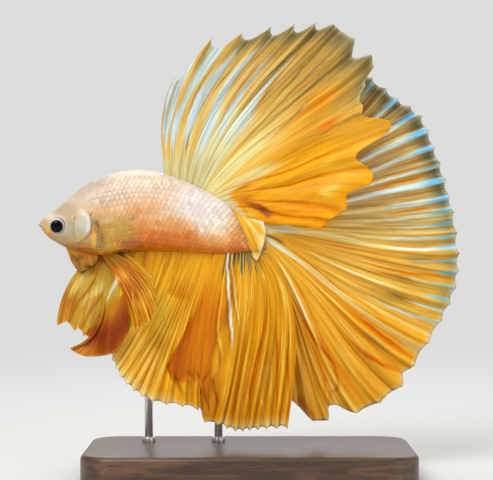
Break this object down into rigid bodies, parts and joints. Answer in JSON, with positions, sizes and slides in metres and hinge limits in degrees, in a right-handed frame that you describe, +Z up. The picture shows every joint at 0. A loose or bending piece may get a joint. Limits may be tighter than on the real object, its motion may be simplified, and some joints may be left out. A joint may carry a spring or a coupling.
{
  "type": "betta fish",
  "caption": "Life-size male betta fish with spread, pleated fins, swimming above a small flat base on two thin rods.",
  "frame": {"origin": "centre of the stand base's underside, on the floor", "axes": "+Z up; the fish's head points to -X and its tail to +X; its left side faces -Y"},
  "size_m": [0.0802, 0.034, 0.0851],
  "materials": {
    "skin": "satin, scaled",
    "gill": "satin, pearly",
    "membrane": "soft",
    "eye": "gloss",
    "fin_pale": "translucent membrane",
    "fin_gold": "translucent membrane",
    "fin_orange": "translucent membrane",
    "stand_wood": "oiled, dark",
    "stand_steel": "brushed"
  },
  "bodies": {
    "root": {"head": "skin", "trunk": "skin", "tail_stem": "skin", "gill_cover_left": "gill", "gill_cover_right": "gill", "gill_membrane": "membrane", "eye_left": "eye", "eye_right": "eye", "dorsal_fin": "fin_pale", "dorsal_fold": "fin_gold", "tail_fin": "fin_gold", "anal_fin": "fin_orange", "pelvic_fin_left": "fin_orange", "pelvic_fin_right": "fin_orange", "pectoral_fin_left": "fin_gold", "pectoral_fin_right": "fin_gold", "stand_base": "stand_wood", "stand_rod_front": "stand_steel", "stand_rod_back": "stand_steel"}
  },
  "joints": []
}
